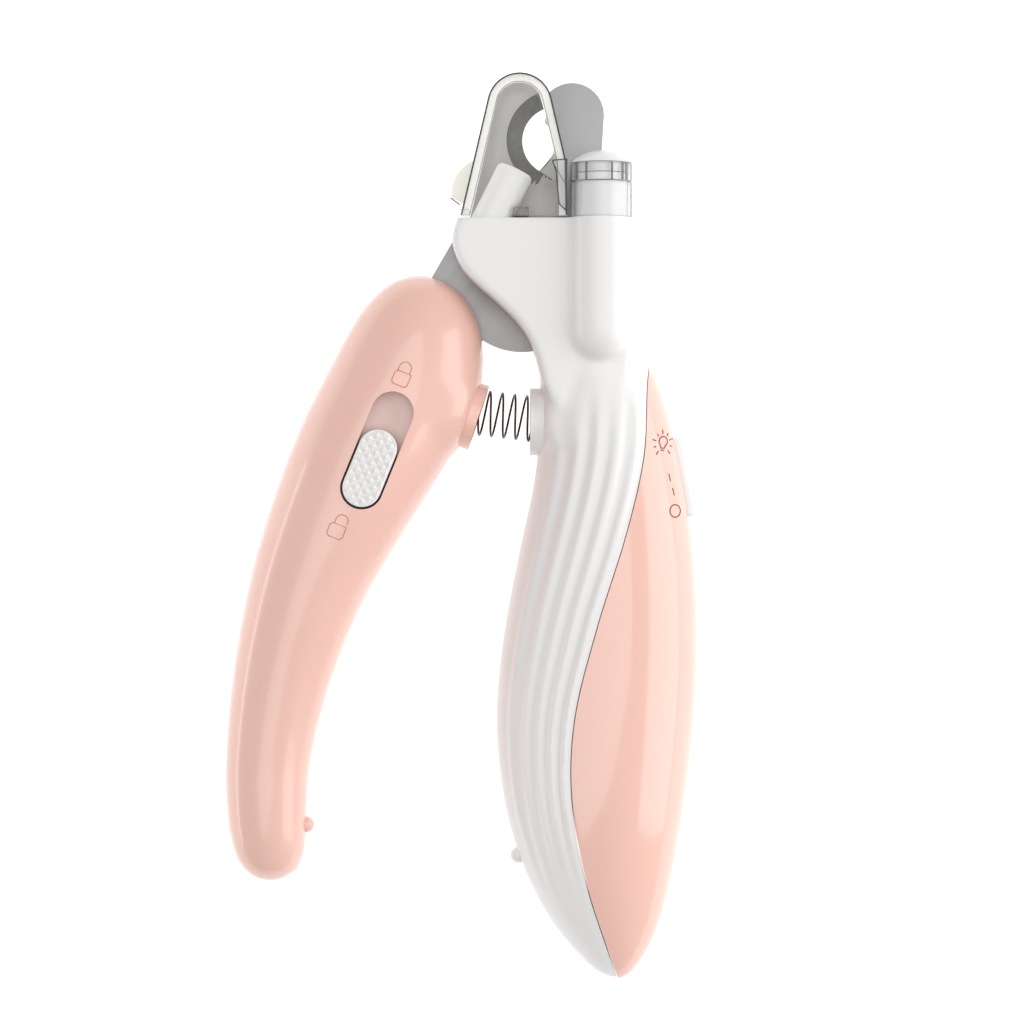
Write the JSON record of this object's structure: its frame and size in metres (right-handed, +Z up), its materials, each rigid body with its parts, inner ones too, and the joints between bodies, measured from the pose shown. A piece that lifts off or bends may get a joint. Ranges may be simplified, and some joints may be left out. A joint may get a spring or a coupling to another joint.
{
  "type": "scissor nail clipper with lamp",
  "caption": "Plier-style pet nail clipper: wide grip with a lamp, curved lever with a slide lock, hooked steel blades, a return spring and a clear nail catcher.",
  "frame": {"origin": "bottom centre of the clipper's box as it lies on its back with the handles open", "axes": "+Y along the clipper from the handle tips to the blades, +Z up out of the rest face towards the lock button's side, +X from the lever towards the grip"},
  "size_m": [0.0786, 0.1495, 0.0233],
  "materials": {
    "white_shell": "satin moulded",
    "pink_shell": "glossy moulded",
    "inner_plastic": "moulded",
    "dark_plastic": "moulded",
    "knob_plastic": "satin",
    "tray_plastic": "satin",
    "board": "solder mask",
    "reflector": "gloss",
    "milky_plastic": "milky",
    "clear_plastic": "clear moulded",
    "catcher_clear": "clear moulded",
    "led_lens": "clear epoxy",
    "blade_steel": "fine ground",
    "screw_steel": "bright",
    "spring_steel": "drawn wire",
    "contact_metal": "nickel plated",
    "cell_steel": "polished",
    "bush_brass": "turned"
  },
  "bodies": {
    "grip": {"grip_front_shell": "white_shell", "grip_back_shell": "white_shell", "outer_cover": "pink_shell", "battery_door": "pink_shell", "door_screw": "screw_steel", "cell_cradle": "inner_plastic", "contact_plate": "contact_metal", "contact_spring": "contact_metal", "button_cell_1": "cell_steel", "button_cell_2": "cell_steel", "button_cell_3": "cell_steel", "circuit_board": "board", "switch_body": "dark_plastic", "grip_screws": "screw_steel", "fixed_blade": "blade_steel", "blade_rivets": "screw_steel", "pivot_screw": "screw_steel", "pivot_bush": "bush_brass", "pivot_nut": "screw_steel", "lamp_board": "board", "lamp_led": "led_lens", "lamp_core": "reflector", "lamp_sleeve": "clear_plastic", "lamp_ring": "clear_plastic", "lamp_diffuser": "milky_plastic", "spot_tube": "clear_plastic", "spot_led": "led_lens", "return_spring": "spring_steel"},
    "lever": {"lever_front_shell": "pink_shell", "lever_back_shell": "pink_shell", "moving_blade": "blade_steel", "tang_screws": "screw_steel", "lever_screws": "screw_steel", "lock_tray": "tray_plastic", "detent_leaf": "spring_steel"},
    "lock": {"lock_button": "knob_plastic", "lock_bolt": "blade_steel"},
    "switch": {"switch_knob": "knob_plastic"},
    "catcher": {"nail_catcher": "catcher_clear"}
  },
  "joints": [
    {"name": "lever_hinge", "type": "hinge", "parent": "grip", "child": "lever", "pos_m": [0.0062, 0.0421, 0.011], "axis": [0, 0, 1], "range_deg": [0, 19.4], "stiffness_Nm_per_rad": 0.5, "springref_deg": -20.05, "deforming": ["return_spring"]},
    {"name": "lock_slide", "type": "slide", "parent": "lever", "child": "lock", "axis": [0.3795, 0.9252, 0], "range_m": [0, 0.0063]},
    {"name": "switch_slide", "type": "slide", "parent": "grip", "child": "switch", "axis": [-0.1745, 0.9847, 0], "range_m": [0, 0.003]},
    {"name": "catcher_slide", "type": "slide", "parent": "grip", "child": "catcher", "axis": [0, 1, 0], "range_m": [0, 0.012]}
  ]
}
